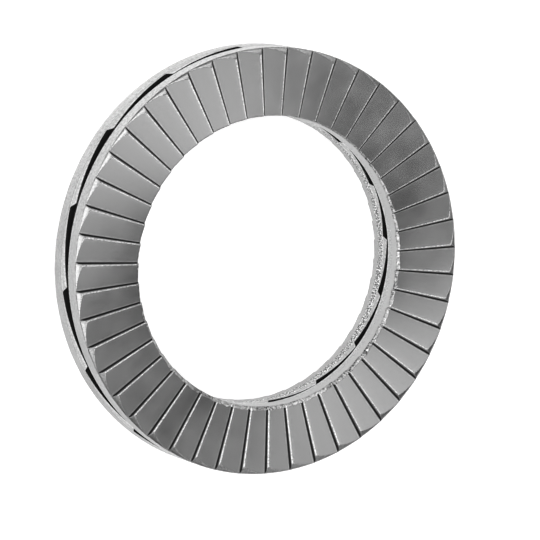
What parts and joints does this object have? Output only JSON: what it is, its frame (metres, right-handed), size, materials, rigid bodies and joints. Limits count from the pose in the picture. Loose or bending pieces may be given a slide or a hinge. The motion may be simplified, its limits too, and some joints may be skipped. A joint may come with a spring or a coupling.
{
  "type": "wedge lock washer pair",
  "caption": "Pair of flat steel locking washers lying cam face to cam face, with radial saw teeth on both outer faces and shallow wedge ramps between them",
  "frame": {"origin": "middle of the underside, on the plane of the lower tooth crests", "axes": "+Z along the bore from the lower washer to the upper, +X and +Y across the ring"},
  "size_m": [0.055, 0.055, 0.0066],
  "materials": {
    "washer_steel": "flat grey zinc-flake coat, satin, brushed look"
  },
  "bodies": {
    "root": {"upper_washer": "washer_steel", "lower_washer": "washer_steel"}
  },
  "joints": []
}
